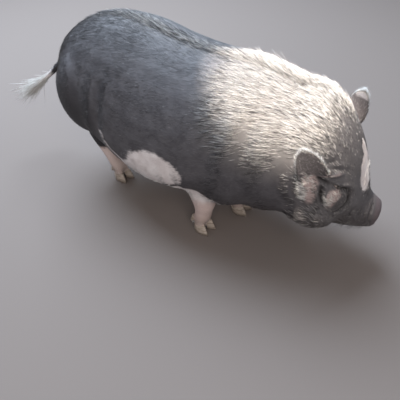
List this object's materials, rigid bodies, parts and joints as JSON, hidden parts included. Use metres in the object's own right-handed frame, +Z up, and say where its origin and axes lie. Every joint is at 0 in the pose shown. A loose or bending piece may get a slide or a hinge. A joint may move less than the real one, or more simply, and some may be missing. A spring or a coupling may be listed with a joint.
{
  "type": "pot-bellied pig",
  "caption": "Grown pot-bellied pig standing with its head lowered, with dark bristly hide, pale legs, small upright ears and a straight tufted tail.",
  "frame": {"origin": "on the floor, under the middle of the animal's bounding box", "axes": "+X from tail to snout, +Y to the animal's left, +Z up"},
  "size_m": [1.0884, 0.395, 0.4763],
  "materials": {
    "dark_hide": "dull dark grey hide under sparse coarse black and silver bristles",
    "pale_hide": "dull pinkish skin under short white hair",
    "white_hair": "coarse white hair",
    "horn": "worn cream horn",
    "eye": "wet dark brown"
  },
  "bodies": {
    "root": {"trunk": "dark_hide", "neck": "dark_hide", "head": "dark_hide", "snout": "dark_hide", "lower_jaw": "dark_hide", "ear_left": "dark_hide", "ear_right": "dark_hide", "eye_left": "eye", "eye_right": "eye", "tail": "dark_hide", "tail_switch": "white_hair", "foreleg_left": "pale_hide", "foreleg_right": "pale_hide", "hindleg_left": "pale_hide", "hindleg_right": "pale_hide", "forehoof_left_left": "horn", "forehoof_left_right": "horn", "forehoof_right_left": "horn", "forehoof_right_right": "horn", "hindhoof_left_left": "horn", "hindhoof_left_right": "horn", "hindhoof_right_left": "horn", "hindhoof_right_right": "horn", "foredewclaw_left_left": "horn", "foredewclaw_left_right": "horn", "foredewclaw_right_left": "horn", "foredewclaw_right_right": "horn", "hinddewclaw_left_left": "horn", "hinddewclaw_left_right": "horn", "hinddewclaw_right_left": "horn", "hinddewclaw_right_right": "horn"}
  },
  "joints": []
}
